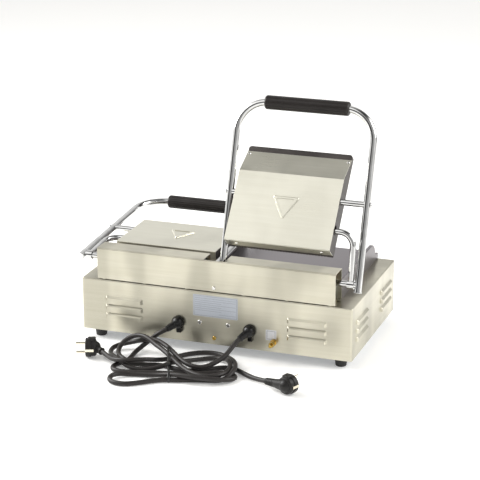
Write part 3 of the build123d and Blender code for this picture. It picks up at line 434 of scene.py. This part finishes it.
# ------------------------------------------------------------ mains leads
ROUTE_A = [
    (91.7, 180.9, 49.6), (104, 190.5, 44), (121, 189, 29), (134.5, 192.5, 16.5), (144, 204, 8.5), (147, 220.5, 5), (145, 238.5, 5),
    (145, 254.5, 5), (152, 270.5, 5), (159, 286, 5), (159.5, 298.5, 5), (153.5, 308.5, 5), (140.5, 314, 5), (117, 311.5, 5),
    (81.5, 301, 5), (51, 294, 5), (29, 289, 5), (4.5, 282, 5), (-23.5, 269, 5), (-50, 256, 5), (-70, 255.5, 5), (-81.5, 262, 5),
    (-86.5, 272.5, 5.5), (-83.5, 286.5, 7), (-68, 303.5, 11), (-37, 316.5, 15), (-4, 319, 16), (28, 315, 14), (56.5, 311, 7),
    (85, 313.5, 5), (113, 320, 5), (131.5, 329, 7), (140, 339, 7.5), (142.5, 348.5, 7), (140.5, 357.5, 6), (134, 365, 5),
    (121.5, 370, 5), (101.5, 368.5, 5), (78, 352, 5), (56, 333.5, 5), (35.5, 323, 5.5), (18.5, 319.5, 5), (-5, 310, 5),
    (-29.5, 302.5, 5), (-50, 298, 5), (-64, 292, 5), (-74, 282.5, 8), (-79, 268, 14.5), (-78, 246.5, 16.5), (-66, 217.5, 14),
    (-47, 190.5, 9), (-25, 171, 5.5), (-1, 165, 5), (21, 170, 5), (42, 184.5, 5), (58.5, 204.5, 5), (70, 228, 6.5),
    (81.5, 251, 12), (94, 269.5, 18.5), (112, 285, 21.5), (125.5, 293.5, 22), (138.5, 296, 21.5), (152, 293.5, 19.5),
    (168, 284.5, 16.5), (184, 270, 16), (199.3, 258.4, 17.3)]
ROUTE_B = [
    (-63.4, 183.9, 50.1), (-56, 201, 41), (-51, 216.5, 31), (-44, 230.5, 24), (-34, 245, 18.5), (-21.5, 258.5, 14.5), (-7, 266, 14),
    (8.5, 266.5, 16), (25.5, 258.5, 18.5), (44.5, 244, 22), (65, 226.5, 27), (85, 211.5, 30), (104, 202.5, 33), (121, 200, 31.5),
    (138, 196.5, 26.5), (155.5, 188.5, 18.5), (174, 188, 12.5), (187.5, 194.5, 9.5), (195.5, 205.5, 8), (196.5, 220, 6.5),
    (189.5, 238.5, 6.5), (171.5, 263.5, 13), (149, 285, 15.5), (128, 296, 9.5), (108.5, 297.5, 6.5), (85, 291, 7.5),
    (61.5, 278.5, 12), (51.5, 264, 15.5), (39.5, 241, 10), (20.5, 215, 6), (-0.5, 196, 5), (-21.5, 191.5, 6.5), (-41, 200.5, 11),
    (-56.5, 220.5, 15), (-66.5, 245, 15.5), (-69, 269, 15), (-62.5, 289.5, 15), (-47, 303, 15), (-28, 306, 15), (-7.5, 299.5, 15),
    (15, 287, 17), (37.5, 269.5, 21.5), (60, 251.5, 26.5), (81, 235, 30), (97.5, 222.5, 31), (112, 213.5, 35.5),
    (127.5, 205, 38.5), (144, 198, 37), (158, 197.5, 32.5), (168.5, 202.5, 27), (175, 210.5, 21), (177, 222, 15.5),
    (173.5, 236.5, 12), (163.5, 255.5, 13.5), (149.5, 271.5, 15.5), (134.5, 277.5, 11), (117.5, 274.5, 7), (96.5, 263.5, 5),
    (69, 257.5, 5), (50.5, 264.5, 5), (28, 270, 5), (1, 264.5, 5), (-21, 250.5, 5), (-37.5, 235, 5), (-54, 227.5, 5),
    (-70.5, 229, 5), (-90, 242.5, 5), (-112.5, 258, 5.3), (-134, 272, 8.3), (-152.4, 283, 12.2)]
CORD_R = 4.75
cord_a = nurbs(ROUTE_A, "cord_a", CORD_R, CORD)
cord_b = nurbs(ROUTE_B, "cord_b", CORD_R, CORD)
for ob, solids in ((cord_a, ("cord_a_lead", "cord_a_tail", "cord_hank")), (cord_b, ("cord_b_lead", "cord_b_tail"))):
    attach(ob, "base")
    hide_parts(*solids)


# ------------------------------------------------------------ cable tie round the turns
def band_loop(name, outline, width, thick, place, mat):
    """Flat strap swept round a rounded closed outline in the local YZ plane; width lies along local X."""
    pts = [Vector((0.0, y, z)) for y, z in outline]
    ring = []
    n = len(pts)
    for i in range(n):                       # round every corner
        a0, b0, c0 = pts[i - 1], pts[i], pts[(i + 1) % n]
        k = min(4.5, 0.4 * (b0 - a0).length, 0.4 * (c0 - b0).length)
        p0 = b0 + (a0 - b0).normalized() * k
        p2 = b0 + (c0 - b0).normalized() * k
        for j in range(7):
            t = j / 6
            ring.append(p0 * (1 - t) ** 2 + b0 * 2 * t * (1 - t) + p2 * t * t)
    bm = bmesh.new()
    rows = []
    m2 = len(ring)
    for i, q in enumerate(ring):
        tan = (ring[(i + 1) % m2] - ring[i - 1]).normalized()
        nrm = Vector((0.0, tan.z, -tan.y))
        w, t = width / 2, thick / 2
        prof = [(-w, -t * 0.5), (-w + 0.25, -t), (w - 0.25, -t), (w, -t * 0.5), (w, t * 0.5), (w - 0.25, t), (-w + 0.25, t), (-w, t * 0.5)]
        rows.append([bm.verts.new((place @ (q + Vector((px, 0, 0)) + nrm * pn))) for px, pn in prof])
    for i in range(m2):
        u, v = rows[i], rows[(i + 1) % m2]
        for j in range(8):
            bm.faces.new((u[j], u[(j + 1) % 8], v[(j + 1) % 8], v[j]))
    bmesh.ops.recalc_face_normals(bm, faces=bm.faces)
    return from_bmesh(bm, name, mat)


def solid_box(bm, lo, hi, place, bevel):
    """Bevelled block between two local corners (design mm), added to bm through place."""
    part = bmesh.new()
    bmesh.ops.create_cube(part, size=1.0)
    for v in part.verts:
        v.co = Vector([lo[k] + (v.co[k] + 0.5) * (hi[k] - lo[k]) for k in range(3)])
    bmesh.ops.bevel(part, geom=part.edges[:], offset=bevel, segments=3, affect="EDGES", profile=0.6)
    bmesh.ops.transform(part, matrix=place, verts=part.verts)
    me = bpy.data.meshes.new("tmp")
    part.to_mesh(me)
    part.free()
    bm.from_mesh(me)
    bpy.data.meshes.remove(me)


DESIGN = Matrix.Translation((0, FY * MM, 0)) @ Matrix.Scale(MM, 4)       # design millimetres to the row frame
TIE_PLACE = DESIGN @ Matrix.Translation((50, 277, 0)) @ Matrix.Rotation(math.radians(22), 4, "Z")
tie = band_loop("cord_tie_band", [(-58.4, 0.9), (54.0, 0.9), (54.2, 9.2), (45.3, 16.2), (-21.8, 32.2), (-53.3, 33.1), (-58.8, 28.5)], 4.6, 1.2, TIE_PLACE, TIE)
bm = bmesh.new()
bm.from_mesh(tie.data)
solid_box(bm, (-3.6, 14.0, 23.0), (3.6, 21.0, 28.0), TIE_PLACE, 0.8)
bm.to_mesh(tie.data)
bm.free()
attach(tie, "base")
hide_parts("cord_tie")


# ------------------------------------------------------------ floor and light
bm = bmesh.new()
bmesh.ops.create_grid(bm, x_segments=8, y_segments=8, size=14.0)
floor_mat, g, b = material("floor_paper")
n = g.noise(g.coord(), 3.0, 2.0)
g.link(g.mixc(n, (0.900, 0.896, 0.878), (0.918, 0.914, 0.896)), b.inputs["Base Color"])
b.inputs["Roughness"].default_value = 0.9
b.inputs["Specular IOR Level"].default_value = 0.15
b.inputs["Emission Color"].default_value = (1.0, 1.0, 0.995, 1)
b.inputs["Emission Strength"].default_value = 0.20            # high-key table, lit from within
floor = from_bmesh(bm, "floor", floor_mat, False)
floor.location.z = -0.0002

world = bpy.data.worlds.new("studio")
scene.world = world
world.use_nodes = True
g = Graph(world.node_tree)
bg = g.n["Background"]
tc = g.add("ShaderNodeTexCoord")


def lobe(direction, inner, outer, amount):
    """Soft round light area round a direction; inner and outer are cosines."""
    d = Vector(direction).normalized()
    dot = g.add("ShaderNodeVectorMath", operation="DOT_PRODUCT")
    dot.inputs[1].default_value = d
    g.link(tc.outputs["Generated"], dot.inputs[0])
    return g.remap(dot.outputs["Value"], outer, inner, 0.0, amount, True)


sep = g.add("ShaderNodeSeparateXYZ")
g.link(tc.outputs["Generated"], sep.inputs[0])
level = g.math("ADD", 0.07, lobe((0.25, -0.97, 0.22), 0.95, 0.60, 0.88))       # lit backdrop beyond the object
level = g.math("ADD", level, lobe((0.43, 0.49, 0.76), 0.975, 0.84, 1.34))      # softbox over the viewer
level = g.math("ADD", level, lobe((0.33, -0.34, 0.89), 0.97, 0.80, 0.36))      # dim ceiling
level = g.math("ADD", level, lobe((0.95, 0.05, 0.30), 0.95, 0.74, 1.15))       # side softbox
level = g.math("ADD", level, lobe((-0.86, 0.12, 0.45), 0.95, 0.74, 1.00))      # side softbox
level = g.math("ADD", level, lobe((-0.33, 0.86, 0.38), 0.97, 0.80, 0.42))       # fill seen in the lids from the operator's side
bg.inputs["Color"].default_value = (1.0, 0.995, 0.985, 1)
lp = g.add("ShaderNodeLightPath")
mx = g.add("ShaderNodeMix", data_type="FLOAT")
g.link(lp.outputs["Is Camera Ray"], mx.inputs[0])
g.link(level, mx.inputs[2])
mx.inputs[3].default_value = 1.05
g.link(mx.outputs[0], bg.inputs["Strength"])


def area(name, loc, target, size, power, colour=(1, 1, 1)):
    ld = bpy.data.lights.new(name, "AREA")
    ld.shape = "RECTANGLE"
    ld.size, ld.size_y = size
    ld.energy = power
    ld.color = colour
    ob = link(bpy.data.objects.new(name, ld))
    ob.location = loc
    ob.rotation_mode = "QUATERNION"
    ob.rotation_quaternion = (Vector(target) - Vector(loc)).to_track_quat("-Z", "Y")
    return ob


area("softbox_left", (2.1, 0.25, 1.55), (0.0, 0.1, 0.05), (1.4, 1.5), 74)
area("softbox_right", (-2.1, -0.45, 1.55), (-0.2, 0.0, 0.05), (1.4, 1.5), 42)
